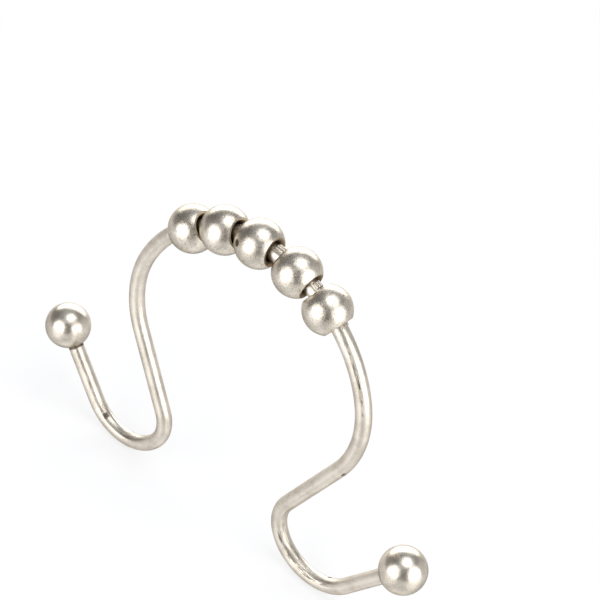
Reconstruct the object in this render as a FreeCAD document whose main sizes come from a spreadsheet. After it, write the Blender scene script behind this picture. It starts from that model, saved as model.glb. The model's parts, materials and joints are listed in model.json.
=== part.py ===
import FreeCAD, Part

import math
import os

import Sketcher

# A curtain hook bent from one wire, with five rolling balls on its crown and a ball on each end.
# The hook lies in the XZ plane: X is its width, Z points up, and Y runs along the curtain rod.
# The origin is the top of the rod space, where the rod touches the rollers.

# Driving dimensions, lengths in millimetres and angles in degrees
SIZES = {
    "wire_diameter": 2.7,
    "crown_radius": 24.3,
    "crown_half_angle": 70.4,
    "shoulder_radius": 17.6,
    "shoulder_angle": 49.0,
    "shank_length": 15.4,
    "heel_radius": 6.55,
    "heel_angle": 55.2,
    "toe_radius": 8.8,
    "toe_angle": 115.8,
    "stem_length": 14.25,
    "roller_diameter": 8.0,
    "mouth_diameter": 4.3,
    "rim_width": 0.36,
    "mouth_depth": 0.9,
    "bore_clearance": 0.28,
    "seat_clearance": 0.1,
    "lip_rounding": 0.12,
    "middle_roller_station": -2.03,
    "first_gap": 0.85,
    "second_gap": 0.85,
    "third_gap": 1.7,
    "fourth_gap": 1.22,
    "outer_stop_length": 0.8,
    "outer_stop_inset": 0.4,
    "stop_play": 0.03,
    "ridge_height": 0.25,
    "ridge_width": 0.24,
    "ridge_pitch": 0.45,
    "end_ball_diameter": 8.0,
    "socket_clearance": 0.02,
    "seam_width": 0.18,
}

ROLLER_GAPS = ("first_gap", "second_gap", "third_gap", "fourth_gap")
ROLLER_COUNT = len(ROLLER_GAPS) + 1
STOP_COUNT = ROLLER_COUNT + 1
RIDGE_COUNT = 3

# Expressions shared by several pieces
WIRE_RADIUS = "sizes.wire_diameter / 2"
BORE_RADIUS = f"({WIRE_RADIUS} + sizes.bore_clearance)"
ROLLER_DROP = "(sizes.bore_clearance - sizes.seat_clearance)"
CROWN_CENTRE_DEPTH = f"(sizes.crown_radius - {ROLLER_DROP} - sizes.roller_diameter / 2)"
RIM_RADIUS = "(sizes.mouth_diameter / 2 + sizes.rim_width)"
ROLLER_LENGTH = f"(2 * sqrt((sizes.roller_diameter / 2)^2 - {RIM_RADIUS}^2))"

# Point positions on sketch geometry
START, END, CENTRE = range(1, 4)
SKETCH_X_AXIS, SKETCH_Y_AXIS = range(-1, -3, -1)
ORIGIN = (SKETCH_X_AXIS, START)

EDGE_TOLERANCE = 1e-4


def size(name):
    """Give a driving dimension as a plain number."""
    return SIZES[name]


def crown_centre_depth():
    """Give the depth of the crown's centre below the origin."""
    roller_drop = size("bore_clearance") - size("seat_clearance")
    return size("crown_radius") - roller_drop - size("roller_diameter") / 2


def rim_radius():
    """Give the outer radius of a roller's flat face."""
    return size("mouth_diameter") / 2 + size("rim_width")


def roller_half_length():
    """Give half of a roller's length: the ball is cut flat where its rim begins."""
    return math.sqrt((size("roller_diameter") / 2) ** 2 - rim_radius() ** 2)


def make_sheet(doc):
    """Write the driving dimensions into the document's spreadsheet."""
    sheet = doc.addObject("Spreadsheet::Sheet", "sizes")
    for row, (alias, value) in enumerate(SIZES.items(), start=1):
        sheet.set(f"A{row}", alias)
        sheet.set(f"B{row}", str(value))
        sheet.setAlias(f"B{row}", alias)
    doc.recompute()


def make_body(doc, name):
    """Add a body whose label names its piece."""
    body = doc.addObject("PartDesign::Body", name)
    body.Label = name
    return body


def origin_plane(body, role):
    """Find one of the body's own origin planes."""
    return next(plane for plane in body.Origin.OriginFeatures if plane.Role == role)


def make_sketch(body, name, role):
    """Add a sketch on one of the body's origin planes."""
    sketch = body.newObject("Sketcher::SketchObject", name)
    sketch.AttachmentSupport = [(origin_plane(body, role), "")]
    sketch.MapMode = "FlatFace"
    return sketch


def bind(sketch, name, constraint, expression):
    """Add a named dimension to a sketch and tie it to the spreadsheet."""
    index = sketch.addConstraint(constraint)
    sketch.renameConstraint(index, name)
    sketch.setExpression(f"Constraints.{name}", expression)


def point(x, y):
    """Give a point in a sketch's own plane."""
    return FreeCAD.Vector(x, y, 0)


def heading_vector(angle):
    """Give the unit vector at an angle from the sketch's X axis."""
    return point(math.cos(angle), math.sin(angle))


class WirePath:
    """The half outline of the hook as arcs and lines, each tangent to the one before."""

    def __init__(self, sketch, start):
        self.sketch = sketch
        self.place = start
        self.heading = 0.0
        self.last = None

    def join(self, index, near_end, far_end):
        """Make the new piece follow smoothly on the one before."""
        if self.last is not None:
            last_index, last_end = self.last
            self.sketch.addConstraint(
                Sketcher.Constraint("Tangent", last_index, last_end, index, near_end)
            )
        self.last = (index, far_end)

    def arc(self, name, turn_sign):
        """Bend the wire: a turn_sign of -1 bends down towards the rod, and 1 bends outwards."""
        radius = size(f"{name}_radius")
        angle_name = "crown_half_angle" if name == "crown" else f"{name}_angle"
        turn = math.radians(size(angle_name))
        side = heading_vector(self.heading + turn_sign * math.pi / 2)
        centre = self.place + side * radius
        first = self.heading - turn_sign * math.pi / 2
        last = first + turn_sign * turn
        circle = Part.Circle(centre, FreeCAD.Vector(0, 0, 1), radius)
        arc = Part.ArcOfCircle(circle, min(first, last), max(first, last))
        index = self.sketch.addGeometry(arc, False)
        ends = (START, END) if turn_sign > 0 else (END, START)
        self.join(index, *ends)
        bind(
            self.sketch,
            f"{name}_radius",
            Sketcher.Constraint("Radius", index, radius),
            f"sizes.{name}_radius",
        )
        bind(
            self.sketch,
            angle_name,
            Sketcher.Constraint("Angle", index, turn),
            f"sizes.{angle_name} * 1 deg",
        )
        self.place = centre + heading_vector(last) * radius
        self.heading += turn_sign * turn
        return index

    def line(self, name):
        """Run the wire straight on."""
        length = size(f"{name}_length")
        far_place = self.place + heading_vector(self.heading) * length
        index = self.sketch.addGeometry(Part.LineSegment(self.place, far_place), False)
        self.join(index, START, END)
        bind(
            self.sketch,
            f"{name}_length",
            Sketcher.Constraint("Distance", index, length),
            f"sizes.{name}_length",
        )
        self.place = far_place
        return index


def draw_half_outline(body):
    """Draw the wire's centre line from the top of the crown to the middle of the end ball."""
    sketch = make_sketch(body, "wire_path", "XZ_Plane")
    crown_top = point(0, size("crown_radius") - crown_centre_depth())
    path = WirePath(sketch, crown_top)
    crown = path.arc("crown", -1)
    path.arc("shoulder", -1)
    path.line("shank")
    path.arc("heel", 1)
    path.arc("toe", 1)
    stem = path.line("stem")
    sketch.addConstraint(Sketcher.Constraint("PointOnObject", crown, CENTRE, SKETCH_Y_AXIS))
    sketch.addConstraint(Sketcher.Constraint("PointOnObject", crown, END, SKETCH_Y_AXIS))
    bind(
        sketch,
        "crown_centre_depth",
        Sketcher.Constraint("DistanceY", crown, CENTRE, *ORIGIN, crown_centre_depth()),
        CROWN_CENTRE_DEPTH,
    )
    add_reference(sketch, "end_reach", Sketcher.Constraint("DistanceX", *ORIGIN, stem, END, path.place.x))
    add_reference(sketch, "end_depth", Sketcher.Constraint("DistanceY", stem, END, *ORIGIN, -path.place.y))
    return sketch


def add_reference(sketch, name, constraint):
    """Add a dimension that only measures, so that other pieces can read it."""
    index = sketch.addConstraint(constraint)
    sketch.setDriving(index, False)
    sketch.renameConstraint(index, name)


def draw_wire_section(body):
    """Draw the wire's round section at the top of the crown."""
    sketch = make_sketch(body, "wire_section", "YZ_Plane")
    height = size("crown_radius") - crown_centre_depth()
    radius = size("wire_diameter") / 2
    circle = sketch.addGeometry(Part.Circle(point(0, height), FreeCAD.Vector(0, 0, 1), radius), False)
    sketch.addConstraint(Sketcher.Constraint("PointOnObject", circle, CENTRE, SKETCH_Y_AXIS))
    bind(
        sketch,
        "section_height",
        Sketcher.Constraint("DistanceY", *ORIGIN, circle, CENTRE, height),
        f"sizes.crown_radius - {CROWN_CENTRE_DEPTH}",
    )
    bind(sketch, "section_radius", Sketcher.Constraint("Radius", circle, radius), WIRE_RADIUS)
    return sketch


def draw_ridge(sketch, number):
    """Draw the section of one ridge, from inside the wire to a little over its round surface."""
    place = number - (RIDGE_COUNT - 1) / 2
    offset = place * size("ridge_pitch")
    radius = size("wire_diameter") / 2
    left_reach = offset - size("ridge_width") / 2
    right_reach = offset + size("ridge_width") / 2
    low = radius - size("ridge_height")
    high = math.sqrt(radius**2 - offset**2) + size("ridge_height")
    corners = [
        point(left_reach, low),
        point(right_reach, low),
        point(right_reach, high),
        point(left_reach, high),
    ]
    bottom = sketch.GeometryCount
    for start, end in zip(corners, corners[1:] + corners[:1]):
        sketch.addGeometry(Part.LineSegment(start, end), False)
    right, top, left = range(bottom + 1, bottom + len(corners))
    for one, other in ((bottom, right), (right, top), (top, left), (left, bottom)):
        sketch.addConstraint(Sketcher.Constraint("Coincident", one, END, other, START))
    for side in (bottom, top):
        sketch.addConstraint(Sketcher.Constraint("Horizontal", side))
    for side in (left, right):
        sketch.addConstraint(Sketcher.Constraint("Vertical", side))
    name = f"ridge_{number + 1}"
    middle = f"({place} * sizes.ridge_pitch)"
    bind(
        sketch,
        f"{name}_left",
        Sketcher.Constraint("DistanceX", *ORIGIN, left, START, left_reach),
        f"{middle} - sizes.ridge_width / 2",
    )
    bind(
        sketch,
        f"{name}_right",
        Sketcher.Constraint("DistanceX", *ORIGIN, right, START, right_reach),
        f"{middle} + sizes.ridge_width / 2",
    )
    bind(
        sketch,
        f"{name}_low",
        Sketcher.Constraint("DistanceY", *ORIGIN, bottom, START, low),
        f"{WIRE_RADIUS} - sizes.ridge_height",
    )
    bind(
        sketch,
        f"{name}_high",
        Sketcher.Constraint("DistanceY", *ORIGIN, top, START, high),
        f"sqrt(({WIRE_RADIUS})^2 - {middle}^2) + sizes.ridge_height",
    )


def roller_station(index):
    """Give the expression of a roller's place along the crown, counted from the crown's top."""
    middle = ROLLER_COUNT // 2
    sign = "+" if index > middle else "-"
    passed = ROLLER_GAPS[min(index, middle):max(index, middle)]
    steps = "".join(f" {sign} ({ROLLER_LENGTH} + sizes.{gap})" for gap in passed)
    return f"(sizes.middle_roller_station{steps})"


def stop_station(index):
    """Give the expression of a stop's place: midway between rollers, or in an outer mouth."""
    outer = f"(({ROLLER_LENGTH} + sizes.outer_stop_length) / 2 - sizes.outer_stop_inset)"
    if index == 0:
        return f"({roller_station(0)} - {outer})"
    if index == ROLLER_COUNT:
        return f"({roller_station(ROLLER_COUNT - 1)} + {outer})"
    return f"(({roller_station(index - 1)} + {roller_station(index)}) / 2)"


def stop_length(index):
    """Give a stop's length along the wire and its expression: it nearly fills its gap."""
    if index in (0, ROLLER_COUNT):
        return size("outer_stop_length"), "sizes.outer_stop_length"
    gap = ROLLER_GAPS[index - 1]
    return size(gap) - 2 * size("stop_play"), f"sizes.{gap} - 2 * sizes.stop_play"


def turn_at(station):
    """Give the expression of the crown's slope at a station."""
    return f"{station} / sizes.crown_radius * 1 rad"


def place_on_crown(sketch, station):
    """Set a sketch on the YZ plane square across the wire, its Y axis pointing out of the crown."""
    turn = turn_at(station)
    across = f"sizes.crown_radius * sin({turn})"
    height = f"sizes.crown_radius * cos({turn}) - {CROWN_CENTRE_DEPTH}"
    turning = f"rotation(vector(1; 0; 0); {turn})"
    sketch.setExpression("AttachmentOffset", f"placement(vector(0; {height}; {across}); {turning})")


def add_stop(body, index):
    """Raise the ridges that a toothed punch leaves on the outer side of the wire."""
    sketch = make_sketch(body, f"stop_{index}_section", "YZ_Plane")
    for number in range(RIDGE_COUNT):
        draw_ridge(sketch, number)
    place_on_crown(sketch, stop_station(index))
    length, length_expression = stop_length(index)
    ridges = body.newObject("PartDesign::Pad", f"stop_{index}_ridges")
    ridges.Profile = sketch
    ridges.Midplane = True
    ridges.Length = length
    ridges.setExpression("Length", length_expression)


def make_hook_wire(doc):
    """Bend the wire on both sides of the crown and raise the stops between the rollers."""
    body = make_body(doc, "hook_wire")
    path = draw_half_outline(body)
    section = draw_wire_section(body)
    bend = body.newObject("PartDesign::AdditivePipe", "bent_half")
    bend.Profile = section
    bend.Spine = path
    doc.recompute()
    mirrored = body.newObject("PartDesign::Mirrored", "both_halves")
    mirrored.Originals = [bend]
    mirrored.MirrorPlane = (origin_plane(body, "YZ_Plane"), [""])
    body.Tip = mirrored
    doc.recompute()
    for index in range(STOP_COUNT):
        add_stop(body, index)
    doc.recompute()
    return path


def draw_roller_section(body, name):
    """Draw half of a ball's section: a round flank, flat ends and a bore with flared mouths."""
    sketch = make_sketch(body, f"{name}_section", "XZ_Plane")
    radius = size("roller_diameter") / 2
    half_length = roller_half_length()
    mouth_radius = size("mouth_diameter") / 2
    bore_radius = size("wire_diameter") / 2 + size("bore_clearance")
    bore_half_length = half_length - size("mouth_depth")
    face_angle = math.acos(half_length / radius)
    circle = Part.Circle(point(0, 0), FreeCAD.Vector(0, 0, 1), radius)
    flank = sketch.addGeometry(Part.ArcOfCircle(circle, face_angle, math.pi - face_angle), False)
    corners = [
        heading_vector(math.pi - face_angle) * radius,
        point(-half_length, mouth_radius),
        point(-bore_half_length, bore_radius),
        point(bore_half_length, bore_radius),
        point(half_length, mouth_radius),
        heading_vector(face_angle) * radius,
    ]
    for start, end in zip(corners, corners[1:]):
        sketch.addGeometry(Part.LineSegment(start, end), False)
    left_face, left_flare, bore, right_flare, right_face = range(flank + 1, flank + len(corners))
    sketch.addConstraint(Sketcher.Constraint("Coincident", flank, CENTRE, *ORIGIN))
    sketch.addConstraint(Sketcher.Constraint("Coincident", flank, END, left_face, START))
    sketch.addConstraint(Sketcher.Constraint("Coincident", left_face, END, left_flare, START))
    sketch.addConstraint(Sketcher.Constraint("Coincident", left_flare, END, bore, START))
    sketch.addConstraint(Sketcher.Constraint("Coincident", bore, END, right_flare, START))
    sketch.addConstraint(Sketcher.Constraint("Coincident", right_flare, END, right_face, START))
    sketch.addConstraint(Sketcher.Constraint("Coincident", right_face, END, flank, START))
    sketch.addConstraint(Sketcher.Constraint("Vertical", left_face))
    sketch.addConstraint(Sketcher.Constraint("Symmetric", flank, START, flank, END, SKETCH_Y_AXIS))
    sketch.addConstraint(
        Sketcher.Constraint("Symmetric", left_face, END, right_face, START, SKETCH_Y_AXIS)
    )
    sketch.addConstraint(Sketcher.Constraint("Symmetric", bore, START, bore, END, SKETCH_Y_AXIS))
    bind(
        sketch,
        "ball_radius",
        Sketcher.Constraint("Radius", flank, radius),
        "sizes.roller_diameter / 2",
    )
    bind(
        sketch,
        "rim_radius",
        Sketcher.Constraint("DistanceY", *ORIGIN, flank, END, rim_radius()),
        RIM_RADIUS,
    )
    bind(
        sketch,
        "mouth_radius",
        Sketcher.Constraint("DistanceY", *ORIGIN, left_face, END, mouth_radius),
        "sizes.mouth_diameter / 2",
    )
    bind(
        sketch,
        "bore_radius",
        Sketcher.Constraint("DistanceY", *ORIGIN, bore, START, bore_radius),
        BORE_RADIUS,
    )
    bind(
        sketch,
        "mouth_depth",
        Sketcher.Constraint("DistanceX", left_face, END, bore, START, size("mouth_depth")),
        "sizes.mouth_depth",
    )
    return sketch


def revolve(body, name, sketch):
    """Turn a section once round the sketch's X axis."""
    turned = body.newObject("PartDesign::Revolution", name)
    turned.Profile = sketch
    turned.ReferenceAxis = (sketch, ["H_Axis"])
    turned.Angle = 360
    return turned


def rim_edges(shape):
    """Find the outer rims of a roller's two flat faces."""
    half_length = roller_half_length()
    names = []
    for number, edge in enumerate(shape.Edges, start=1):
        box = edge.BoundBox
        on_face = box.XLength < EDGE_TOLERANCE and abs(abs(box.Center.x) - half_length) < EDGE_TOLERANCE
        if on_face and box.ZLength > size("mouth_diameter") + EDGE_TOLERANCE:
            names.append(f"Edge{number}")
    return names


def make_roller(doc, index):
    """Turn one ball and hang it on the crown, the top of its bore just over the wire."""
    name = f"roller_{index + 1}"
    body = make_body(doc, name)
    section = draw_roller_section(body, name)
    ball = revolve(body, f"{name}_ball", section)
    doc.recompute()
    rounding = body.newObject("PartDesign::Fillet", f"{name}_rims")
    rounding.Base = (ball, rim_edges(ball.Shape))
    rounding.Radius = size("lip_rounding")
    rounding.setExpression("Radius", "sizes.lip_rounding")
    turn = turn_at(roller_station(index))
    reach = f"(sizes.crown_radius - {ROLLER_DROP})"
    across = f"{reach} * sin({turn})"
    height = f"{reach} * cos({turn}) - {CROWN_CENTRE_DEPTH}"
    turning = f"rotation(vector(0; 1; 0); {turn})"
    body.setExpression("Placement", f"placement(vector({across}; 0; {height}); {turning})")


def draw_end_ball_section(body, name):
    """Draw half of an end ball's section, with the blind socket that the wire is pressed into."""
    sketch = make_sketch(body, f"{name}_section", "XZ_Plane")
    radius = size("end_ball_diameter") / 2
    socket_radius = size("wire_diameter") / 2 + size("socket_clearance")
    seam_radius = socket_radius + size("seam_width")
    mouth_angle = math.pi - math.asin(seam_radius / radius)
    mouth = heading_vector(mouth_angle) * radius
    bottom = size("socket_clearance")
    circle = Part.Circle(point(0, 0), FreeCAD.Vector(0, 0, 1), radius)
    skin = sketch.addGeometry(Part.ArcOfCircle(circle, 0, mouth_angle), False)
    corners = [
        mouth,
        point(mouth.x + size("seam_width"), socket_radius),
        point(bottom, socket_radius),
        point(bottom, 0),
        point(radius, 0),
    ]
    for start, end in zip(corners, corners[1:]):
        sketch.addGeometry(Part.LineSegment(start, end), False)
    seam, wall, floor, axis = range(skin + 1, skin + len(corners))
    sketch.addConstraint(Sketcher.Constraint("Coincident", skin, CENTRE, *ORIGIN))
    sketch.addConstraint(Sketcher.Constraint("Coincident", skin, END, seam, START))
    sketch.addConstraint(Sketcher.Constraint("Coincident", seam, END, wall, START))
    sketch.addConstraint(Sketcher.Constraint("Coincident", wall, END, floor, START))
    sketch.addConstraint(Sketcher.Constraint("Coincident", floor, END, axis, START))
    sketch.addConstraint(Sketcher.Constraint("Coincident", axis, END, skin, START))
    sketch.addConstraint(Sketcher.Constraint("Horizontal", wall))
    sketch.addConstraint(Sketcher.Constraint("Vertical", floor))
    sketch.addConstraint(Sketcher.Constraint("PointOnObject", floor, END, SKETCH_X_AXIS))
    sketch.addConstraint(Sketcher.Constraint("PointOnObject", axis, END, SKETCH_X_AXIS))
    bind(
        sketch,
        "ball_radius",
        Sketcher.Constraint("Radius", skin, radius),
        "sizes.end_ball_diameter / 2",
    )
    bind(
        sketch,
        "socket_radius",
        Sketcher.Constraint("DistanceY", *ORIGIN, wall, END, socket_radius),
        f"{WIRE_RADIUS} + sizes.socket_clearance",
    )
    bind(
        sketch,
        "seam_radius",
        Sketcher.Constraint("DistanceY", *ORIGIN, seam, START, seam_radius),
        f"{WIRE_RADIUS} + sizes.socket_clearance + sizes.seam_width",
    )
    bind(
        sketch,
        "seam_depth",
        Sketcher.Constraint("DistanceX", seam, START, seam, END, size("seam_width")),
        "sizes.seam_width",
    )
    bind(
        sketch,
        "socket_bottom",
        Sketcher.Constraint("DistanceX", *ORIGIN, floor, END, bottom),
        "sizes.socket_clearance",
    )
    return sketch


def make_end_ball(doc, name, side):
    """Press a ball on one end of the wire; side is 1 on the right and -1 on the left."""
    body = make_body(doc, name)
    section = draw_end_ball_section(body, name)
    revolve(body, f"{name}_ball", section)
    down_turn = "(sizes.crown_half_angle + sizes.shoulder_angle)"
    stem_rise = f"(sizes.heel_angle + sizes.toe_angle - {down_turn})"
    turn = f"-{stem_rise}" if side > 0 else f"({stem_rise} - 180)"
    centre = f"vector({side} * wire_path.Constraints.end_reach; 0; -wire_path.Constraints.end_depth)"
    turning = f"rotation(vector(0; 1; 0); {turn} * 1 deg)"
    body.setExpression("Placement", f"placement({centre}; {turning})")


def check_document(doc):
    """Stop if any object failed, or if a piece isn't one valid solid."""
    for item in doc.Objects:
        if "Invalid" in item.State or "Error" in item.State:
            raise RuntimeError(f"{item.Name} failed: {item.State}")
    for body in pieces(doc):
        shape = body.Shape
        if shape.isNull() or not shape.isValid() or len(shape.Solids) != 1:
            raise RuntimeError(f"{body.Label} is not one valid solid")


def pieces(doc):
    """List the bodies, one for each piece of the hook."""
    return [item for item in doc.Objects if item.TypeId == "PartDesign::Body"]


def export_pieces(doc):
    """Write each piece to its own file."""
    os.makedirs("parts", exist_ok=True)
    for body in pieces(doc):
        body.Shape.exportStep(os.path.join("parts", f"{body.Label}.step"))
        box = body.Shape.BoundBox
        print(f"{body.Label}: {body.Shape.Volume:.2f} mm3, box {box}")


def main():
    """Build the hook and write its pieces."""
    doc = FreeCAD.newDocument("curtain_hook")
    make_sheet(doc)
    make_hook_wire(doc)
    for index in range(ROLLER_COUNT):
        make_roller(doc, index)
    make_end_ball(doc, "end_ball_left", -1)
    make_end_ball(doc, "end_ball_right", 1)
    doc.recompute()
    check_document(doc)
    export_pieces(doc)


main()
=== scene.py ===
"""A double-ended curtain hook in satin nickel: one bent wire, five rolling balls and two end balls."""

import json
import logging
import math
from dataclasses import dataclass, field
from enum import Enum

import bmesh
import bpy
import numpy as np
from mathutils import Matrix, Vector


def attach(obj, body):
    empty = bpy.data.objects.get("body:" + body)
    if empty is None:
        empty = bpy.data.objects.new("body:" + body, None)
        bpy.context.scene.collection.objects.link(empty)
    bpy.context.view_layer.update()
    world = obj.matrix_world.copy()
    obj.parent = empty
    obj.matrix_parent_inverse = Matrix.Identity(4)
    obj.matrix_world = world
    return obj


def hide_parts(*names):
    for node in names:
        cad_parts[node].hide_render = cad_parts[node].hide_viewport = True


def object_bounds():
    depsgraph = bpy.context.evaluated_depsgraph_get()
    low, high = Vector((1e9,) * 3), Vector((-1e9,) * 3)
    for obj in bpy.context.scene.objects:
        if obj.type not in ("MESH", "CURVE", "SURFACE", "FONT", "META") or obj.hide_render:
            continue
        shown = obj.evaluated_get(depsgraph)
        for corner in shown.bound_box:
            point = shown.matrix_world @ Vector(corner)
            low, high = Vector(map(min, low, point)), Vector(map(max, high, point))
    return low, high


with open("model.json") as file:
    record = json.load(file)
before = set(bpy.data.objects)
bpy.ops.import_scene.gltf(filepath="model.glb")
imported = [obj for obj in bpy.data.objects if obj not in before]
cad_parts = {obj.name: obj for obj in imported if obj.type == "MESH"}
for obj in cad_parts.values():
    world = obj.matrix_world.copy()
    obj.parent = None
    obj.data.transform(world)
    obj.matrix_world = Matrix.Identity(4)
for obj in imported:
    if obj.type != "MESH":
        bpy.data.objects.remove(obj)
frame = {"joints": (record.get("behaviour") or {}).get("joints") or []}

CAD_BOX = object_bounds()
MM = 0.001
UV_LENGTH = 100.0        # millimetres of wire to one unit of its map
FULL_TURN = 360.0
WHITE = (1.0, 1.0, 1.0)
LOG = logging.getLogger("curtain_hook")


class Signal:
    """A number that runs along a shader link, used in plain arithmetic."""

    def __init__(self, graph: "Graph", socket: bpy.types.NodeSocket) -> None:
        """Wrap one output socket.

        Args:
            graph: The node graph that the socket belongs to.
            socket: The output socket.
        """
        self.graph = graph
        self.socket = socket

    def math(self, operation: str, *others: "Signal | float", swap: bool = False) -> "Signal":
        """Add one Math node.

        Args:
            operation: The Math node's operation.
            others: The node's other inputs.
            swap: Whether this signal comes after the first of the others.

        Returns:
            The node's result.
        """
        terms = [self, *others]
        if swap:
            terms[0], terms[1] = terms[1], terms[0]
        inputs = dict(enumerate(terms))
        return self.graph.signal("ShaderNodeMath", {"operation": operation}, inputs)

    def __add__(self, other: "Signal | float") -> "Signal":
        """Give self + other."""
        return self.math("ADD", other)

    __radd__ = __add__

    def __mul__(self, other: "Signal | float") -> "Signal":
        """Give self * other."""
        return self.math("MULTIPLY", other)

    __rmul__ = __mul__

    def __sub__(self, other: "Signal | float") -> "Signal":
        """Give self - other."""
        return self.math("SUBTRACT", other)

    def __rsub__(self, other: float) -> "Signal":
        """Give other - self."""
        return self.math("SUBTRACT", other, swap=True)

    def __abs__(self) -> "Signal":
        """Give the signal without its sign."""
        return self.math("ABSOLUTE")

    def step(self, low: float, high: float) -> "Signal":
        """Rise smoothly from 0 at low to 1 at high, or fall if low is the larger.

        Args:
            low: The value at which the step starts.
            high: The value at which it ends.

        Returns:
            The step, from 0 to 1.
        """
        falls = low > high
        settings = {"interpolation_type": "SMOOTHSTEP"}
        inputs = {"Value": self, "From Min": min(low, high), "From Max": max(low, high)}
        rise = self.graph.signal("ShaderNodeMapRange", settings, inputs)
        return 1 - rise if falls else rise

    def limited(self) -> "Signal":
        """Keep the signal between 0 and 1."""
        return self.math("MAXIMUM", 0.0).math("MINIMUM", 1.0)


class Graph:
    """A node tree that is filled by expressions."""

    def __init__(self, owner: "bpy.types.Material | bpy.types.World") -> None:
        """Start an empty tree.

        Args:
            owner: The material or world whose nodes are made.
        """
        owner.use_nodes = True
        self.tree = owner.node_tree
        self.tree.nodes.clear()

    def node(self, kind: str, settings: dict | None = None,
             inputs: dict | None = None) -> bpy.types.Node:
        """Add a node.

        Args:
            kind: The node's type.
            settings: Its properties, set before anything else.
            inputs: Values or links for its sockets, by name or by number.

        Returns:
            The new node.
        """
        made = self.tree.nodes.new(kind)
        for name, value in (settings or {}).items():
            setattr(made, name, value)
        for key, value in (inputs or {}).items():
            self.feed(made.inputs[key], value)
        return made

    def feed(self, socket: bpy.types.NodeSocket, value: object) -> None:
        """Set a socket's value or link it.

        Args:
            socket: The input socket.
            value: A signal, another output socket, a number or a tuple.
        """
        if isinstance(value, Signal):
            value = value.socket
        if isinstance(value, bpy.types.NodeSocket):
            self.tree.links.new(value, socket)
        else:
            socket.default_value = value

    def signal(self, kind: str, settings: dict | None = None, inputs: dict | None = None,
               output: int | str = 0) -> Signal:
        """Add a node and give one of its outputs as a number.

        Args:
            kind: The node's type.
            settings: Its properties.
            inputs: Its inputs.
            output: The output's name or number.

        Returns:
            The output as a signal.
        """
        return Signal(self, self.node(kind, settings, inputs).outputs[output])

    def attribute(self, name: str) -> Signal:
        """Read a number that is stored on the mesh.

        Args:
            name: The attribute's name.

        Returns:
            The attribute's value.
        """
        settings = {"attribute_type": "GEOMETRY", "attribute_name": name}
        return self.signal("ShaderNodeAttribute", settings, output="Fac")

    def mix(self, factor: Signal, first: object, second: object) -> bpy.types.NodeSocket:
        """Mix two colours.

        Args:
            factor: 0 for the first colour and 1 for the second.
            first: The first colour.
            second: The second colour.

        Returns:
            The mixed colour.
        """
        colours = [value if isinstance(value, bpy.types.NodeSocket) else (*value, 1.0)
                   for value in (first, second)]
        # The Mix node keeps its colours on sockets 6 and 7, and the mixed colour on output 2.
        inputs = {0: factor, 6: colours[0], 7: colours[1]}
        return self.node("ShaderNodeMix", {"data_type": "RGBA"}, inputs).outputs[2]

    def noise(self, place: bpy.types.NodeSocket, lump: float = 1.0, detail: float = 2.0,
              roughness: float = 0.5) -> Signal:
        """Give a soft noise whose lumps have a stated size.

        Args:
            place: Where the noise is read.
            lump: The size of a lump, in the units of the place.
            detail: How many finer layers are added.
            roughness: How strong each finer layer is.

        Returns:
            The noise, from 0 to 1 with its middle at 0.5.
        """
        inputs = {"Vector": place, "Scale": 1 / lump, "Detail": detail, "Roughness": roughness}
        return self.signal("ShaderNodeTexNoise", {"noise_dimensions": "3D"}, inputs, "Fac")


class Zone(Enum):
    """Which piece a finish is for."""

    WIRE = "wire"
    ROLLER = "rollers"
    END_BALL = "end_balls"


@dataclass(frozen=True)
class Mark:
    """A worn place on the wire.

    The middle and half length are millimetres along the wire from the crown's top, negative on the
    left. The angles are degrees round the wire from its outer side.
    """

    middle: float
    half_length: float
    angle: float
    half_angle: float
    strength: float
    hatched: bool = False

    def share(self, along: Signal, around: Signal) -> Signal:
        """Give how much of the mark lies at each place.

        Args:
            along: Millimetres along the wire.
            around: Degrees round the wire.

        Returns:
            The share, from 0 to 1.
        """
        near = abs(along - self.middle).step(self.half_length, self.half_length / 2)
        turned = (around - self.angle).math("PINGPONG", FULL_TURN / 2)
        return near * turned.step(self.half_angle, self.half_angle / 2) * self.strength


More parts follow.
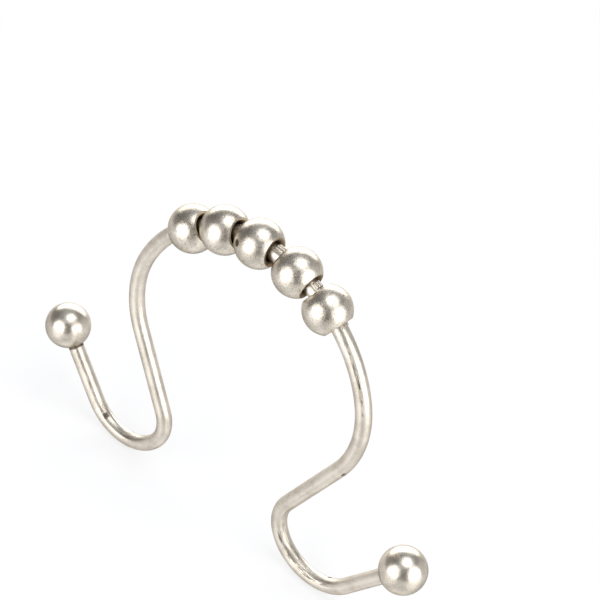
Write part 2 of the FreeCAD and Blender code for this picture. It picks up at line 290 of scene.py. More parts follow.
@dataclass(frozen=True)
class SatinNickel:
    """Warm satin nickel plate over steel, finely grained by tumbling before it was plated.

    A share says how far a colour takes over, from 0 to 1. A range holds the values between which a
    noise or a darkness sets in. A loss is taken from the metallic value.
    """

    pale: tuple = (0.78, 0.72, 0.63)
    deep: tuple = (0.60, 0.545, 0.465)
    tarnish: tuple = (0.09, 0.07, 0.052)
    # Painted shade in the rollers' bores and mouths; also the dark of the end balls' seams and of the
    # nick.
    bore_shade: tuple = (0.050, 0.036, 0.026)
    # Painted bronze highlight round the rollers' mouths; also the fringe of the seams' and the nick's
    # stains.
    mouth_glint_and_stain_edge: tuple = (0.42, 0.32, 0.21)
    # Painted gold highlight on the lips of two rollers.
    lip_glint_colour: tuple = (0.86, 0.70, 0.46)
    edge_tint: tuple = (0.55, 0.52, 0.48)
    ball_tone_range: tuple = (0.40, 0.60)
    wire_tone_range: tuple = (0.37, 0.57)
    speck_range: tuple = (0.59, 0.68)
    streak_range: tuple = (0.55, 0.80)
    hatch_range: tuple = (0.48, 0.56)
    darkening_onset_range: tuple = (0.02, 0.25)
    edge_to_dark_range: tuple = (0.30, 0.95)
    speck_share: float = 0.55
    streak_share: float = 0.40
    punch_share: float = 0.40
    scratch_share: float = 0.90
    lip_glint_share: float = 0.85
    end_ball_grain_share: float = 0.45
    ball_roughness: float = 0.285
    wire_roughness: float = 0.31
    cloud_roughness: float = 0.08
    grain_roughness: float = 0.12
    punch_roughness: float = 0.08
    scratch_roughness: float = 0.10
    shade_and_dirt_roughness: float = 0.25
    shade_and_dirt_loss: float = 0.60
    lip_glint_loss: float = 0.60
    cloud_mm: float = 2.6
    orange_peel_mm: float = 0.75
    speck_mm: float = 0.30
    grain_mm: float = 0.16
    grain_height_mm: float = 0.026
    peel_height_mm: float = 0.010
    streak_height_mm: float = 0.006
    scratch_depth_mm: float = 0.020
    layer_roughness: float = 0.55
    streak_scale: tuple = (18.0, 14.0, 1.0)
    scratch_scale: tuple = (45.0, 60.0, 1.0)
    piece_offset: float = 0.1
    marks: tuple = (
        Mark(middle=-94.9, half_length=0.5, angle=60.0, half_angle=300.0, strength=1.0),
        Mark(middle=-81.0, half_length=0.75, angle=-30.0, half_angle=24.0, strength=1.0),
        Mark(middle=-77.5, half_length=5.5, angle=-48.0, half_angle=11.0, strength=0.75),
        Mark(middle=-74.8, half_length=3.4, angle=-16.0, half_angle=30.0, strength=0.50, hatched=True),
        Mark(middle=72.0, half_length=11.0, angle=-14.0, half_angle=16.0, strength=0.50, hatched=True),
        Mark(middle=74.0, half_length=10.0, angle=-56.0, half_angle=14.0, strength=0.95, hatched=True),
        Mark(middle=25.0, half_length=9.0, angle=-57.0, half_angle=13.0, strength=0.95, hatched=True),
        Mark(middle=-87.0, half_length=5.0, angle=-45.0, half_angle=8.0, strength=0.35, hatched=True),
        Mark(middle=80.6, half_length=0.6, angle=24.0, half_angle=24.0, strength=1.0),
        Mark(middle=43.7, half_length=0.6, angle=-36.0, half_angle=16.0, strength=0.9),
    )

    def build(self, zone: Zone) -> bpy.types.Material:
        """Make the material for one kind of piece.

        Args:
            zone: The kind of piece.

        Returns:
            The material.
        """
        material = bpy.data.materials.new(f"satin_nickel_{zone.value}")
        graph = Graph(material)
        grain = self.lumps(graph, self.grain_mm, detail=3.0)
        cloud = self.lumps(graph, self.cloud_mm)
        peel = self.lumps(graph, self.orange_peel_mm, detail=1.0)
        shade_and_dirt = graph.attribute("shade_and_dirt")
        on_wire = zone is Zone.WIRE
        tone_range = self.wire_tone_range if on_wire else self.ball_tone_range
        plain = self.wire_roughness if on_wire else self.ball_roughness
        coarse = self.end_ball_grain_share if zone is Zone.END_BALL else 1.0
        colour = graph.mix((0.5 * cloud + 0.5 * grain).step(*tone_range), self.deep, self.pale)
        roughness = (plain + self.cloud_roughness * (cloud - 0.5)
                     + coarse * self.grain_roughness * (grain - 0.5))
        height = coarse * self.grain_height_mm * grain + self.peel_height_mm * peel
        metallic = 1 - self.shade_and_dirt_loss * shade_and_dirt
        if on_wire:
            uv = graph.node("ShaderNodeUVMap", {"uv_map": "wire"}).outputs[0]
            streak = self.drawn_lines(graph, uv, self.streak_scale, detail=3.0)
            scratch = self.scratches(graph, uv)
            punched = graph.attribute("punched")
            colour = graph.mix(self.streak_share * streak.step(*self.streak_range), colour, self.deep)
            colour = graph.mix(self.scratch_share * scratch, colour, self.tarnish)
            colour = graph.mix(self.punch_share * punched, colour, self.tarnish)
            roughness = roughness + self.punch_roughness * punched + self.scratch_roughness * scratch
            height = height + self.streak_height_mm * streak - self.scratch_depth_mm * scratch
        else:
            speck = self.lumps(graph, self.speck_mm).step(*self.speck_range)
            colour = graph.mix(coarse * self.speck_share * speck, colour, self.tarnish)
        # Rollers 1 and 2 get a painted gold highlight on their lips.
        if zone is Zone.ROLLER:
            lip_glint = graph.attribute("lip_glint")
            colour = graph.mix(self.lip_glint_share * lip_glint, colour, self.lip_glint_colour)
            metallic = metallic - self.lip_glint_loss * lip_glint
        # Painted shade darkens the rollers' bores, mouths and plain lips, with a painted bronze
        # highlight at the mouths; the same mix darkens the end balls' seams and the nick.
        shade_and_stain_colour = graph.mix(shade_and_dirt.step(*self.edge_to_dark_range), self.mouth_glint_and_stain_edge, self.bore_shade)
        colour = graph.mix(shade_and_dirt.step(*self.darkening_onset_range), colour, shade_and_stain_colour)
        self.finish(graph, colour, roughness + self.shade_and_dirt_roughness * shade_and_dirt, metallic, height)
        return material

    def lumps(self, graph: Graph, size_mm: float, detail: float = 2.0) -> Signal:
        """Give a noise in the piece's own axes, moved by an amount of the piece's own.

        Args:
            graph: The material's graph.
            size_mm: The size of a lump.
            detail: How many finer layers are added.

        Returns:
            The noise, from 0 to 1.
        """
        own = graph.node("ShaderNodeTexCoord").outputs["Object"]
        offset = graph.signal("ShaderNodeObjectInfo", output="Random") * self.piece_offset
        moved = graph.node("ShaderNodeVectorMath", {"operation": "ADD"}, {0: own, 1: offset})
        return graph.noise(moved.outputs[0], size_mm * MM, detail, self.layer_roughness)

    def drawn_lines(self, graph: Graph, uv: bpy.types.NodeSocket, scale: tuple,
                    detail: float = 2.0) -> Signal:
        """Give a noise that is stretched along the wire, like the lines that drawing leaves.

        Args:
            graph: The material's graph.
            uv: Places along and round the wire.
            scale: How finely each of the two is divided.
            detail: How many finer layers are added.

        Returns:
            The noise, from 0 to 1.
        """
        inputs = {"Vector": uv, "Scale": scale}
        stretched = graph.node("ShaderNodeMapping", {"vector_type": "POINT"}, inputs)
        return graph.noise(stretched.outputs[0], detail=detail)

    def scratches(self, graph: Graph, uv: bpy.types.NodeSocket) -> Signal:
        """Give the dark scratches and pits of use.

        Args:
            graph: The material's graph.
            uv: Places along and round the wire.

        Returns:
            The scratches, from 0 to 1.
        """
        hatch = self.drawn_lines(graph, uv, self.scratch_scale).step(*self.hatch_range)
        split = graph.node("ShaderNodeSeparateXYZ", inputs={0: uv})
        along = Signal(graph, split.outputs["X"]) * UV_LENGTH
        around = Signal(graph, split.outputs["Y"]) * FULL_TURN
        shares = [mark.share(along, around) * (hatch if mark.hatched else 1.0) for mark in self.marks]
        return sum(shares[1:], shares[0]).limited()

    def finish(self, graph: Graph, colour: bpy.types.NodeSocket, roughness: Signal,
               metallic: Signal, height: Signal) -> None:
        """Join the colour, gloss and relief in one shader.

        Args:
            graph: The material's graph.
            colour: The base colour.
            roughness: The roughness.
            metallic: How metallic the surface is.
            height: The relief in millimetres.
        """
        relief = {"Strength": 1.0, "Distance": MM, "Height": height}
        bump = graph.node("ShaderNodeBump", inputs=relief)
        shader = graph.node("ShaderNodeBsdfPrincipled", inputs={
            "Base Color": colour,
            "Roughness": roughness.limited(),
            "Metallic": metallic.limited(),
            "Specular Tint": (*self.edge_tint, 1.0),
            "Normal": bump.outputs[0],
        })
        graph.node("ShaderNodeOutputMaterial", inputs={"Surface": shader.outputs[0]})


@dataclass(frozen=True)
class Grid:
    """A quadrilateral mesh in rows and columns, each row a closed ring.

    Attributes:
        points: Places in millimetres, as rows, columns and three coordinates.
        closed: Whether the last row joins the first.
        capped: Whether the end rows are closed with a face.
    """

    points: np.ndarray
    closed: bool = False
    capped: bool = False

    def faces(self) -> list[tuple[int, ...]]:
        """List the faces.

        Returns:
            Each face as the numbers of its points.
        """
        rows, columns = self.points.shape[:2]
        last = rows if self.closed else rows - 1
        found = []
        for row in range(last):
            here = row * columns
            there = (row + 1) % rows * columns
            for column in range(columns):
                beside = (column + 1) % columns
                found.append((here + column, here + beside, there + beside, there + column))
        if self.capped:
            found.append(tuple(range(columns))[::-1])
            found.append(tuple(range((rows - 1) * columns, rows * columns)))
        return found

    def build(self, name: str, uv: tuple[np.ndarray, np.ndarray] | None = None,
              numbers: dict[str, np.ndarray] | None = None) -> bpy.types.Object:
        """Make a smooth mesh object.

        Args:
            name: The object's name.
            uv: Places on the surface for each row, and for each column and one more.
            numbers: Values for each point, by attribute name.

        Returns:
            The object, linked to the scene.
        """
        mesh = bpy.data.meshes.new(name)
        mesh.from_pydata((self.points.reshape(-1, 3) * MM).tolist(), [], self.faces())
        for label, values in (numbers or {}).items():
            attribute = mesh.attributes.new(label, "FLOAT", "POINT")
            attribute.data.foreach_set("value", values.astype(np.float32).ravel())
        if uv is not None:
            self.lay_uv(mesh, *uv)
        mesh.shade_smooth()
        mesh.validate()
        made = bpy.data.objects.new(name, mesh)
        bpy.context.scene.collection.objects.link(made)
        return made

    def lay_uv(self, mesh: bpy.types.Mesh, along: np.ndarray, around: np.ndarray) -> None:
        """Give the mesh a map that runs along its rows and round its columns.

        Args:
            mesh: The mesh.
            along: The first coordinate of each row.
            around: The second coordinate of each column, and of the first column once more.
        """
        rows, columns = self.points.shape[:2]
        layer = mesh.uv_layers.new(name="wire")
        row = np.arange(rows - 1)[:, None, None]
        column = np.arange(columns)[None, :, None]
        row_step = np.array([0, 0, 1, 1])[None, None, :]
        column_step = np.array([0, 1, 1, 0])[None, None, :]
        first = along[row + row_step] + 0.0 * column
        second = around[column + column_step] + 0.0 * row
        places = np.stack([first, second], -1).reshape(-1, 2)
        spare = len(mesh.loops) - len(places)
        places = np.concatenate([places, np.zeros((spare, 2))])
        layer.uv.foreach_set("vector", places.astype(np.float32).ravel())


@dataclass(frozen=True)
class WirePath:
    """The hook's centre line: arcs and lines, each tangent to the one before, in millimetres."""

    wire_radius: float = 1.35
    crown_radius: float = 24.3
    crown_half_angle: float = 70.4
    shoulder_radius: float = 17.6
    shoulder_angle: float = 49.0
    shank_length: float = 15.4
    heel_radius: float = 6.55
    heel_angle: float = 55.2
    toe_radius: float = 8.8
    toe_angle: float = 115.8
    stem_length: float = 14.25
    crown_top: float = 4.18

    def runs(self) -> list[tuple[float, float]]:
        """List the runs of one half, from the crown's top to the end ball.

        Returns:
            The length and signed curvature of each run.
        """
        bends = [
            (self.crown_radius, self.crown_half_angle, -1),
            (self.shoulder_radius, self.shoulder_angle, -1),
            (self.heel_radius, self.heel_angle, 1),
            (self.toe_radius, self.toe_angle, 1),
        ]
        arcs = [(radius * math.radians(angle), sign / radius) for radius, angle, sign in bends]
        return [*arcs[:2], (self.shank_length, 0.0), *arcs[2:], (self.stem_length, 0.0)]

    def half_length(self) -> float:
        """Give the length of one half, from the crown's top to the middle of the end ball."""
        return sum(length for length, _ in self.runs())

    def at(self, station: float) -> tuple[float, float, float]:
        """Find a place on the centre line.

        Args:
            station: Millimetres along the wire from the crown's top, negative on the left.

        Returns:
            The place's X and Z, and the wire's heading in radians.
        """
        side = -1.0 if station < 0 else 1.0
        left = abs(station)
        across, height, heading = 0.0, self.crown_top, 0.0
        for length, curvature in self.runs():
            step = min(left, length)
            turned = heading + curvature * step
            if curvature:
                across += (math.sin(turned) - math.sin(heading)) / curvature
                height -= (math.cos(turned) - math.cos(heading)) / curvature
            else:
                across += step * math.cos(heading)
                height += step * math.sin(heading)
            heading = turned
            left -= step
        return side * across, height, side * heading


@dataclass(frozen=True)
class Stop:
    """The raised ridges of one punch mark, which keep two rollers apart, in millimetres."""

    height: float = 0.25
    width: float = 0.24
    pitch: float = 0.45
    count: int = 3
    edge: float = 0.05
    play: float = 0.03
    outer_length: float = 0.8
    outer_inset: float = 0.4

    def relief(self, beside: np.ndarray, wire_radius: float) -> tuple[np.ndarray, np.ndarray]:
        """Give the ridges' section.

        Args:
            beside: Places across the wire, counted from its middle.
            wire_radius: The wire's radius.

        Returns:
            The height of the surface above the wire's middle on a ridge, and the share of each
            place that lies on a ridge.
        """
        top = np.zeros_like(beside)
        share = np.zeros_like(beside)
        for number in range(self.count):
            middle = (number - (self.count - 1) / 2) * self.pitch
            past_side = np.abs(beside - middle) - self.width / 2
            on_ridge = smooth(past_side, self.edge, -self.edge)
            level = math.sqrt(wire_radius ** 2 - middle ** 2) + self.height
            top = np.where(on_ridge > share, level, top)
            share = np.maximum(share, on_ridge)
        return top, share


def smooth(value: np.ndarray, start: float, end: float) -> np.ndarray:
    """Step smoothly from 0 at the start to 1 at the end, whichever of the two is larger.

    Args:
        value: The values to step over.
        start: Where the step starts.
        end: Where it ends.

    Returns:
        The step for each value.
    """
    share = np.clip((value - start) / (end - start), 0.0, 1.0)
    return share * share * (3 - 2 * share)


@dataclass
class HookWire:
    """The bent wire with its six ridged stops."""

    path: WirePath = field(default_factory=WirePath)
    stop: Stop = field(default_factory=Stop)
    fine_columns: int = 54
    plain_columns: int = 46
    fine_half_angle: float = 32.0
    coarse_step: float = 0.30
    fine_step: float = 0.05

    def stations(self, stops: list[tuple[float, float]]) -> np.ndarray:
        """Choose where the rings lie: close together at the stops.

        Args:
            stops: The stops' places along the wire and their lengths.

        Returns:
            The rings' places along the wire.
        """
        end = self.path.half_length()
        places = np.linspace(-end, end, int(2 * end / self.coarse_step) + 1)
        for middle, length in stops:
            reach = length / 2 + self.coarse_step
            fine = np.arange(middle - reach, middle + reach, self.fine_step)
            places = np.concatenate([places[np.abs(places - middle) > reach], fine])
        return np.sort(places)

    def angles(self) -> np.ndarray:
        """Choose where the points of a ring lie: close together on the wire's outer side.

        Returns:
            The points' angles round the wire, in radians.
        """
        half = math.radians(self.fine_half_angle)
        fine = np.linspace(-half, half, self.fine_columns, endpoint=False)
        plain = np.linspace(half, 2 * math.pi - half, self.plain_columns, endpoint=False)
        return np.concatenate([fine, plain])

    def build(self, stops: list[tuple[float, float]], finish: bpy.types.Material) -> bpy.types.Object:
        """Sweep the wire and raise the stops.

        Args:
            stops: The stops' places along the wire and their lengths.
            finish: The wire's material.

        Returns:
            The wire's object.
        """
        stations = self.stations(stops)
        angles = self.angles()
        radius = np.full((len(stations), len(angles)), self.path.wire_radius)
        punched = np.zeros_like(radius)
        for middle, length in stops:
            self.raise_ridges(np.abs(stations - middle) - length / 2, angles, radius, punched)
        places = [self.path.at(station) for station in stations]
        across, height, heading = (np.array(column)[:, None] for column in zip(*places))
        outward = radius * np.cos(angles)
        points = np.stack([
            across - outward * np.sin(heading),
            radius * np.sin(angles),
            height + outward * np.cos(heading),
        ], -1)
        numbers = {"punched": punched, "shade_and_dirt": np.zeros_like(radius)}
        around = np.append(angles, angles[0] + 2 * math.pi) / (2 * math.pi)
        made = Grid(points, capped=True).build("bent_wire", (stations / UV_LENGTH, around), numbers)
        made.data.materials.append(finish)
        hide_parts("hook_wire")
        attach(made, "wire")
        return made

    def raise_ridges(self, past_end: np.ndarray, angles: np.ndarray, radius: np.ndarray,
                     punched: np.ndarray) -> None:
        """Raise one stop's ridges out of the wire's section.

        Args:
            past_end: How far each ring lies beyond the stop's ends.
            angles: Angles round the wire from its outer side.
            radius: The section's radius, changed in place.
            punched: How deep in a mark's grooves each point lies, changed in place.
        """
        stop = self.stop
        wire_radius = self.path.wire_radius
        beside = wire_radius * np.sin(angles)
        top, share = stop.relief(beside, wire_radius)
        outer_side = np.cos(angles) > math.cos(math.radians(self.fine_half_angle))
        slant = np.where(outer_side, np.cos(angles), 1.0)
        rise = np.where(outer_side, share * (top / slant - wire_radius), 0.0)
        inside = smooth(past_end, 0.0, -2 * stop.edge)[:, None]
        radius += inside * np.maximum(rise, 0.0)
        half_width = (stop.count - 1) / 2 * stop.pitch + stop.width
        in_width = outer_side * smooth(np.abs(beside) - half_width, stop.edge, -stop.edge)
        in_length = smooth(past_end, 3 * stop.edge, stop.edge)[:, None]
        groove = in_length * in_width * (1 - inside * share)
        np.maximum(punched, groove, out=punched)


def arc_points(middle: tuple[float, float], radius: float, start: float, end: float,
               count: int) -> list[tuple[float, float]]:
    """Give points along an arc.

    Args:
        middle: The arc's centre.
        radius: Its radius.
        start: Its first angle in radians.
        end: Its last angle in radians.
        count: How many points it has.

    Returns:
        The points.
    """
    return [(middle[0] + radius * math.cos(angle), middle[1] + radius * math.sin(angle))
            for angle in np.linspace(start, end, count)]


def round_corner(before: Vector, corner: Vector, after: Vector, radius: float,
                 count: int = 7) -> list[tuple[float, float]]:
    """Round one corner of an outline.

    Args:
        before: A point on the side that leads to the corner.
        corner: The corner.
        after: A point on the side that leaves it.
        radius: The rounding's radius.
        count: How many points the rounding has.

    Returns:
        The points that take the corner's place.
    """
    inward = (before - corner).normalized()
    outward = (after - corner).normalized()
    half = inward.angle(outward) / 2
    middle = corner + (inward + outward).normalized() * (radius / math.sin(half))
    first = corner + inward * (radius / math.tan(half)) - middle
    last = corner + outward * (radius / math.tan(half)) - middle
    turn = first.angle_signed(last)
    start = math.atan2(first.y, first.x)
    return arc_points((middle.x, middle.y), radius, start, start - turn, count)


def turned(outline: list[tuple[float, float]], columns: int) -> np.ndarray:
    """Turn an outline of X and radius pairs round the X axis.

    Args:
        outline: The outline's points.
        columns: How many points each ring has.

    Returns:
        The points, as rows, columns and coordinates.
    """
    angles = np.arange(columns) * 2 * math.pi / columns
    along, radius = (np.array(column)[:, None] for column in zip(*outline))
    return np.stack([
        along + 0.0 * angles,
        radius * np.cos(angles),
        radius * np.sin(angles),
    ], -1)


@dataclass
class Roller:
    """A bored ball that rolls on the wire."""

    radius: float = 4.0
    mouth_radius: float = 2.15
    rim_width: float = 0.36
    mouth_depth: float = 0.9
    bore_radius: float = 1.63
    lip_rounding: float = 0.12
    lip_gap: float = 0.18
    mouth_rounding: float = 0.10
    # Painted shade on plain lips and in the mouth and bore.
    lip_shade: float = 0.5
    bore_shade_depths: tuple = (0.25, 0.55)
    bore_shade_edge: tuple = (0.05, -0.12)
    face_edge: tuple = (-0.10, -0.02)
    columns: int = 144
    flank_rows: int = 72

    def half_length(self) -> float:
        """Give half of the roller's length, from its middle to a flat face."""
        return math.sqrt(self.radius ** 2 - (self.mouth_radius + self.rim_width) ** 2)

    def outline(self) -> list[tuple[float, float]]:
        """Draw the section, round the flank and back through the bore.

        Returns:
            The section's points, as places along the bore and radii.
        """
        rim_radius = self.mouth_radius + self.rim_width
        half_length = self.half_length()
        face_angle = math.atan2(rim_radius, half_length)
        rim = Vector((half_length, rim_radius))
        mouth = Vector((half_length, self.mouth_radius))
        throat = Vector((half_length - self.mouth_depth, self.bore_radius))
        middle = Vector((0.0, self.bore_radius))
        near_rim = rim + Vector((-rim_radius, half_length)).normalized()
        flank_end = face_angle + self.lip_gap / self.radius
        right = arc_points((0.0, 0.0), self.radius, math.pi / 2, flank_end, self.flank_rows // 2)
        right += round_corner(near_rim, rim, mouth, self.lip_rounding)
        right += round_corner(rim, mouth, throat, self.mouth_rounding)
        right += round_corner(mouth, throat, middle, self.mouth_depth / 2)
        left = [(-along, radius) for along, radius in right[::-1]]
        return left[:-1] + right

    def shade_and_dirt(self, points: np.ndarray) -> np.ndarray:
        """Say how much painted shade each point has: only the mouth and the bore are darkened.

        Args:
            points: The roller's points.

        Returns:
            The painted shade, from 0 to 1.
        """
        radial = np.hypot(points[..., 1], points[..., 2])
        outer = np.hypot(points[..., 0], radial)
        return (smooth(self.radius - outer, *self.bore_shade_depths)
                * smooth(radial - self.mouth_radius, *self.bore_shade_edge))

    def lip(self, points: np.ndarray) -> np.ndarray:
        """Say which points lie on the flat lips round the mouths.

        Args:
            points: The roller's points.

        Returns:
            The share, from 0 to 1.
        """
        radial = np.hypot(points[..., 1], points[..., 2])
        past_rim = radial - self.mouth_radius - self.rim_width
        on_face = smooth(np.abs(points[..., 0]) - self.half_length(), *self.face_edge)
        return on_face * smooth(past_rim, 0.0, self.face_edge[0])

    def build(self, name: str, joint: dict, finish: bpy.types.Material, lip_glint: bool,
              nick: "Nick | None" = None) -> bpy.types.Object:
        """Turn the roller and put it on its joint.

        Args:
            name: The CAD node that it stands for.
            joint: The roller's joint, from the frame.
            finish: The roller's material.
            lip_glint: Whether its lips carry a painted gold highlight, or else painted shade.
            nick: A dent in its flank.

        Returns:
            The roller's object.
        """
        points = turned(self.outline()[::-1], self.columns)
        lip = self.lip(points)
        # The bore and mouth get painted shade; the lips get a painted gold highlight on two rollers
        # and painted shade on the rest.
        numbers = {
            "shade_and_dirt": np.maximum(self.shade_and_dirt(points), 0.0 if lip_glint else self.lip_shade * lip),
            "lip_glint": lip if lip_glint else 0.0 * lip,
        }
        axis = Vector(joint["axis"]).normalized()
        side = Vector((0.0, 1.0, 0.0))
        points = points @ np.array((axis, side, axis.cross(side)))
        if nick is not None:
            numbers["shade_and_dirt"] = np.maximum(numbers["shade_and_dirt"], nick.cut(points))
        made = Grid(points, closed=True).build(f"ball_{name}", numbers=numbers)
        made.data.materials.append(finish)
        made.location = joint["pos_m"]
        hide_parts(name)
        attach(made, joint["child"])
        return made


@dataclass(frozen=True)
class Nick:
    """A small dark dent in a ball's flank, as the ball hangs at rest.

    The direction points at the nick, and its long way runs along run.
    """

    direction: tuple = (-0.441, -0.881, 0.174)
    run: tuple = (-0.3, 0.4, 0.9)
    half_length: float = 0.62
    half_width: float = 0.60
    edge: tuple = (1.10, 0.75)
    depth: float = 0.06

    def cut(self, points: np.ndarray) -> np.ndarray:
        """Press the dent into the points.

        Args:
            points: The ball's points, changed in place.

        Returns:
            The dent's darkness at each point.
        """
        facing = np.array(self.direction) / np.linalg.norm(self.direction)
        long_way = np.array(self.run) - facing * np.dot(self.run, facing)
        long_way /= np.linalg.norm(long_way)
        short_way = np.cross(facing, long_way)
        reach = np.linalg.norm(points, axis=-1)
        outside = (points @ facing) > 0
        length = (points @ long_way) / self.half_length
        width = (points @ short_way) / self.half_width
        inside = outside * smooth(np.hypot(length, width), *self.edge)
        points *= (1 - self.depth * inside / reach)[..., None]
        return inside


@dataclass
class EndBall:
    """A ball that is pressed on one end of the wire."""

    radius: float = 4.0
    socket_radius: float = 1.37
    seam_width: float = 0.18
    seam_oxide: float = 0.8
    seam_edge: tuple = (0.45, 0.15)
    socket_floor: float = 0.02
    columns: int = 144
    skin_rows: int = 72

    def outline(self) -> list[tuple[float, float]]:
        """Draw the section from the socket's floor out through the seam and round the skin.

        Returns:
            The section's points, as places along the wire and radii.
        """
        seam_radius = self.socket_radius + self.seam_width
        mouth_angle = math.pi - math.asin(seam_radius / self.radius)
        mouth = Vector((math.cos(mouth_angle), math.sin(mouth_angle))) * self.radius
        seam = Vector((mouth.x + self.seam_width, self.socket_radius))
        floor_corner = (self.socket_floor, self.socket_radius)
        skin = arc_points((0.0, 0.0), self.radius, mouth_angle, 0.0, self.skin_rows)
        skin[-1] = (self.radius, 0.0)
        return [(self.socket_floor, 0.0), floor_corner, tuple(seam), *skin]

    def build(self, name: str, path: WirePath, side: int,
              finish: bpy.types.Material) -> bpy.types.Object:
        """Turn the ball and press it on the wire.

        Args:
            name: The CAD node that it stands for.
            path: The wire's path.
            side: 1 on the right and -1 on the left.
            finish: The ball's material.

        Returns:
            The ball's object.
        """
        points = turned(self.outline(), self.columns)
        radial = np.hypot(points[..., 1], points[..., 2])
        near_wire = smooth(radial - self.socket_radius, *self.seam_edge)
        shade_and_dirt = self.seam_oxide * near_wire * (points[..., 0] < 0)
        across, height, heading = path.at(side * path.half_length())
        ahead = Vector((side * math.cos(heading), 0.0, side * math.sin(heading)))
        beside = Vector((0.0, 1.0, 0.0))
        points = points @ np.array((ahead, beside, ahead.cross(beside)))
        made = Grid(points).build(f"ball_{name}", numbers={"shade_and_dirt": shade_and_dirt})
        self.close_poles(made.data)
        made.data.materials.append(finish)
        made.location = Vector((across, 0.0, height)) * MM
        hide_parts(name)
        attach(made, "wire")
        return made

    def close_poles(self, mesh: bpy.types.Mesh) -> None:
        """Join the points that lie together on the ball's axis.

        Args:
            mesh: The ball's mesh.
        """
        work = bmesh.new()
        work.from_mesh(mesh)
        bmesh.ops.remove_doubles(work, verts=work.verts, dist=MM * MM)
        work.to_mesh(mesh)
        work.free()
        mesh.shade_smooth()


@dataclass
class CurtainHook:
    """The whole hook: the wire, the five rollers and the two end balls."""

    wire: HookWire = field(default_factory=HookWire)
    roller: Roller = field(default_factory=Roller)
    end_ball: EndBall = field(default_factory=EndBall)
    nicked_roller: str = "roller_3"
    # Rollers whose lips get a painted gold highlight.
    glinting_rollers: tuple = ("roller_1", "roller_2")

    def roller_stations(self) -> list[float]:
        """Work out the rollers' places along the crown from their joints."""
        return sorted(math.atan2(-joint["axis"][2], joint["axis"][0]) * self.wire.path.crown_radius
                      for joint in frame["joints"])

    def stops(self) -> list[tuple[float, float]]:
        """Place the stops: one in each gap between rollers, and one in each outer mouth.

        Returns:
            The stops' places along the wire and their lengths.
        """
        stop = self.wire.stop
        rollers = self.roller_stations()
        length = 2 * self.roller.half_length()
        outer = (length + stop.outer_length) / 2 - stop.outer_inset
        found = [(rollers[0] - outer, stop.outer_length), (rollers[-1] + outer, stop.outer_length)]
        for first, second in zip(rollers, rollers[1:]):
            found.append(((first + second) / 2, second - first - length - 2 * stop.play))
        return found

    def build(self) -> None:
        """Build and dress every piece."""
        nickel = SatinNickel()
        report(self.wire.build(self.stops(), nickel.build(Zone.WIRE)))
        ball_finish = nickel.build(Zone.ROLLER)
        for joint in frame["joints"]:
            name = joint["child"]
            nick = Nick() if name == self.nicked_roller else None
            report(self.roller.build(name, joint, ball_finish, name in self.glinting_rollers, nick))
        end_finish = nickel.build(Zone.END_BALL)
        for name, side in (("end_ball_left", -1), ("end_ball_right", 1)):
            report(self.end_ball.build(name, self.wire.path, side, end_finish))


def report(made: bpy.types.Object) -> None:
    """Log a finished piece.

    Args:
        made: The piece's object.
    """
    LOG.info("%s: %d faces", made.name, len(made.data.polygons))


@dataclass(frozen=True)
class SoftBox:
    """A soft studio light.

    The azimuth is counted from the hook's front, the -Y side, towards +X. Angles are in degrees
    and lengths in metres.
    """

    name: str
    azimuth: float
    elevation: float
    distance: float
    width: float
    height: float
    brightness: float

    def build(self, target: Vector) -> None:
        """Hang the light so that it faces the hook.

        Args:
            target: What the light is aimed at.
        """
        light = bpy.data.lights.new(self.name, "AREA")
        light.shape = "ELLIPSE"
        light.size = self.width
        light.size_y = self.height
        light.energy = self.brightness * math.pi * self.width * self.height
        made = bpy.data.objects.new(self.name, light)
        bpy.context.scene.collection.objects.link(made)
        away = direction(self.azimuth, self.elevation)
        made.location = target + away * self.distance
        made.rotation_euler = away.to_track_quat("Z", "Y").to_euler()
        made.visible_camera = False


def direction(azimuth: float, elevation: float) -> Vector:
    """Give a unit vector.

    Args:
        azimuth: Degrees from -Y towards +X.
        elevation: Degrees above the floor.

    Returns:
        The vector.
    """
    turn = math.radians(azimuth)
    rise = math.radians(elevation)
    return Vector((math.sin(turn) * math.cos(rise), -math.cos(turn) * math.cos(rise), math.sin(rise)))


@dataclass(frozen=True)
class Glow:
    """A soft bright part of the room that the metal shows.

    The azimuth is counted like a light's. The share of the colour falls from 1 to 0 between the
    inner and the outer angle from the glow's middle, all in degrees.
    """

    azimuth: float
    elevation: float
    inner: float
    outer: float
    colour: tuple

    def share(self, graph: Graph, way: bpy.types.NodeSocket) -> Signal:
        """Give how much of the glow lies in each direction.

        Args:
            graph: The graph that shows it.
            way: The direction that is looked in.

        Returns:
            The share, from 0 to 1.
        """
        middle = tuple(direction(self.azimuth, self.elevation))
        facing = graph.signal("ShaderNodeVectorMath", {"operation": "DOT_PRODUCT"},
                              {0: way, 1: middle}, "Value")
        return facing.step(math.cos(math.radians(self.outer)), math.cos(math.radians(self.inner)))


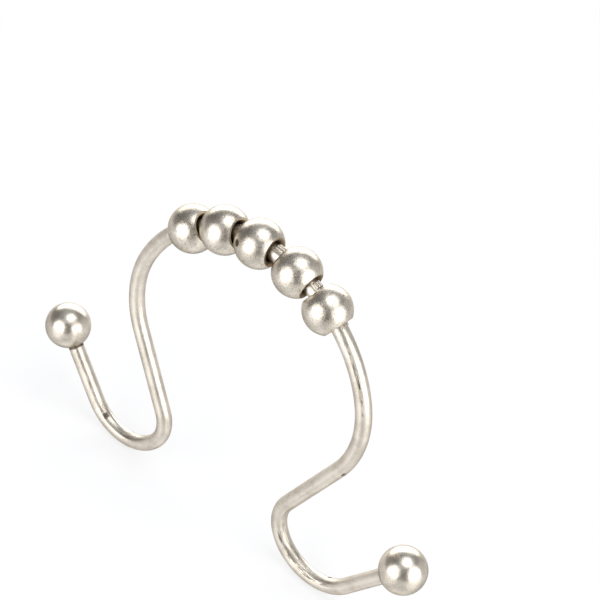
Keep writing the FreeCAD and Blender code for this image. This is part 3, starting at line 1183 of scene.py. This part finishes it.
@dataclass
class Studio:
    """A white floor, four soft lights and a dim room with a white backdrop behind the hook.

    The floor's corners are X and Y in metres, and its shadows fade out between the clear distances.
    """

    floor_low: tuple = (-0.90, -0.17)
    floor_high: tuple = (0.26, 0.90)
    floor_colour: tuple = (0.84, 0.84, 0.85)
    floor_cover: float = 0.70
    floor_gloss: float = 0.25
    floor_roughness: float = 0.25
    clear_from: float = 0.05
    clear_to: float = 0.16
    fill: tuple = (0.40, 0.42, 0.46)
    room: tuple = (0.21, 0.205, 0.20)
    glows: tuple = (
        Glow(azimuth=140.0, elevation=8.0, inner=12.0, outer=34.0, colour=(0.58, 0.58, 0.58)),
        Glow(azimuth=0.0, elevation=90.0, inner=20.0, outer=50.0, colour=(0.37, 0.40, 0.43)),
        Glow(azimuth=-150.0, elevation=8.0, inner=24.0, outer=46.0, colour=WHITE),
    )
    lights: tuple = (
        SoftBox("left_softbox", azimuth=-11.0, elevation=8.5, distance=0.32,
                width=0.33, height=0.40, brightness=2.2),
        SoftBox("right_softbox", azimuth=88.0, elevation=14.0, distance=0.34,
                width=0.34, height=0.42, brightness=2.1),
        SoftBox("top_softbox", azimuth=80.0, elevation=78.0, distance=0.42,
                width=0.34, height=0.34, brightness=2.0),
        SoftBox("back_softbox", azimuth=-142.0, elevation=18.0, distance=0.45,
                width=0.80, height=0.38, brightness=1.7),
    )

    def build(self) -> None:
        """Set the floor, the world and the lights."""
        low, high = (Vector(corner) for corner in CAD_BOX)
        self.build_floor(low.z)
        self.build_world()
        target = (low + high) / 2
        for light in self.lights:
            light.build(target)

    def build_floor(self, height: float) -> None:
        """Lay the floor under the hook: paper whose shadows fade towards its far parts.

        Args:
            height: The floor's height in metres.
        """
        mesh = bpy.data.meshes.new("floor")
        (left, front), (right, back) = self.floor_low, self.floor_high
        corners = [(left, front, 0.0), (right, front, 0.0), (right, back, 0.0), (left, back, 0.0)]
        mesh.from_pydata(corners, [], [(0, 1, 2, 3)])
        floor = bpy.data.objects.new("floor", mesh)
        floor.location.z = height
        bpy.context.scene.collection.objects.link(floor)
        material = bpy.data.materials.new("white_paper")
        graph = Graph(material)
        place = graph.node("ShaderNodeTexCoord").outputs["Object"]
        reach = graph.signal("ShaderNodeVectorMath", {"operation": "LENGTH"}, {0: place}, "Value")
        far = reach.step(self.clear_from, self.clear_to)
        cover = (self.floor_cover + (1 - self.floor_cover) * far) * self.seen_rays(graph)
        paper = graph.node("ShaderNodeBsdfDiffuse", inputs={"Color": (*self.floor_colour, 1.0)})
        white = graph.node("ShaderNodeEmission", inputs={"Color": (*WHITE, 1.0), "Strength": 1.0})
        layers = {0: cover, 1: paper.outputs[0], 2: white.outputs[0]}
        both = graph.node("ShaderNodeMixShader", inputs=layers)
        glossy = graph.signal("ShaderNodeLightPath", output="Is Glossy Ray")
        gloss = graph.node("ShaderNodeBsdfGlossy", inputs={"Roughness": self.floor_roughness})
        layers = {0: glossy * self.floor_gloss, 1: both.outputs[0], 2: gloss.outputs[0]}
        whole = graph.node("ShaderNodeMixShader", inputs=layers)
        graph.node("ShaderNodeOutputMaterial", inputs={"Surface": whole.outputs[0]})
        mesh.materials.append(material)

    def seen_rays(self, graph: Graph) -> Signal:
        """Give 1 for rays that show the background, straight or through the metal's gloss.

        Args:
            graph: The graph that reads the rays.

        Returns:
            The share of the background that shows.
        """
        path = graph.node("ShaderNodeLightPath")
        rays = [Signal(graph, path.outputs[name])
                for name in ("Is Camera Ray", "Is Glossy Ray", "Is Transmission Ray")]
        return (rays[0] + rays[1] + rays[2]).limited()

    def build_world(self) -> None:
        """Make the room: white where it is seen straight, and dim with soft glows in the metal."""
        world = bpy.data.worlds.new("studio")
        bpy.context.scene.world = world
        graph = Graph(world)
        way = graph.node("ShaderNodeTexCoord").outputs["Generated"]
        room = self.room
        for glow in self.glows:
            room = graph.mix(glow.share(graph, way), room, glow.colour)
        glossy = graph.signal("ShaderNodeLightPath", output="Is Glossy Ray")
        plain = graph.mix(self.seen_rays(graph), self.fill, WHITE)
        inputs = {"Color": graph.mix(glossy, plain, room), "Strength": 1.0}
        shine = graph.node("ShaderNodeBackground", inputs=inputs)
        graph.node("ShaderNodeOutputWorld", inputs={"Surface": shine.outputs[0]})


@dataclass(frozen=True)
class PhotoCamera:
    """The photograph's viewpoint, in millimetres and degrees."""

    position: tuple = (123.553, -189.305, 170.395)
    forward: tuple = (-0.41393, 0.67474, -0.61105)
    roll: float = 13.40
    lens: float = 110.24

    def build(self) -> None:
        """Place the camera and make it the scene's own."""
        data = bpy.data.cameras.new("photo_camera")
        data.lens = self.lens
        camera = bpy.data.objects.new("photo_camera", data)
        bpy.context.scene.collection.objects.link(camera)
        ahead = Vector(self.forward).normalized()
        level_right = ahead.cross(Vector((0.0, 0.0, 1.0))).normalized()
        level_up = level_right.cross(ahead)
        turn = math.radians(self.roll)
        right = math.cos(turn) * level_right + math.sin(turn) * level_up
        up = math.cos(turn) * level_up - math.sin(turn) * level_right
        facing = Matrix((right, up, -ahead)).transposed().to_4x4()
        camera.matrix_world = Matrix.Translation(Vector(self.position) * MM) @ facing
        bpy.context.scene.camera = camera


def main() -> None:
    """Build the hook, the studio and the camera."""
    logging.basicConfig(level=logging.INFO, format="%(message)s")
    CurtainHook().build()
    Studio().build()
    PhotoCamera().build()
    bpy.context.scene.view_settings.view_transform = "Standard"


if __name__ == "__main__":
    main()
